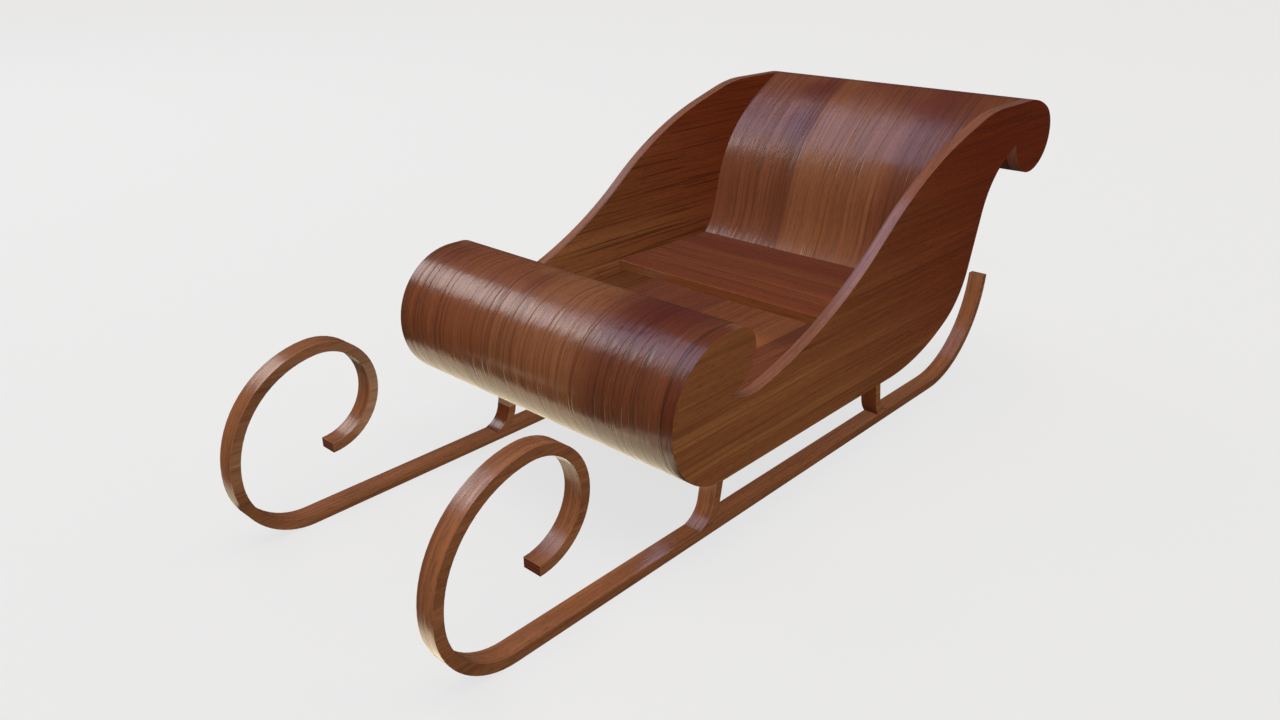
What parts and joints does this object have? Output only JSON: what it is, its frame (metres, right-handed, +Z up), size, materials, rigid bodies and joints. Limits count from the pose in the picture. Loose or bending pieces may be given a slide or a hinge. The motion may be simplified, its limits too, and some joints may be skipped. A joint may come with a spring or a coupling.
{
  "type": "wooden sled",
  "caption": "wooden riding sled with scroll-fronted runners on bent posts, shaped side panels, rolled front and back sheets, plank floor and a seat board",
  "frame": {"origin": "on the ground under the middle of the overall length and width", "axes": "-Y is forward, where the scrolls are, +Z is up and +X is the sled's own left"},
  "size_m": [0.54, 1.3544, 0.4976],
  "materials": {
    "bent_sheet": "glossy clear lacquer over walnut",
    "seat": "glossy clear lacquer over walnut",
    "floor": "glossy clear lacquer over walnut",
    "panel": "glossy clear lacquer over walnut",
    "runner": "glossy clear lacquer over walnut"
  },
  "bodies": {
    "root": {"back_sheet": "bent_sheet", "floor_board_left": "floor", "floor_board_middle": "floor", "floor_board_right": "floor", "front_sheet": "bent_sheet", "post_front_left": "runner", "post_front_right": "runner", "post_rear_left": "runner", "post_rear_right": "runner", "runner_left": "runner", "runner_right": "runner", "seat_board": "seat", "side_panel_left": "panel", "side_panel_right": "panel"}
  },
  "joints": []
}
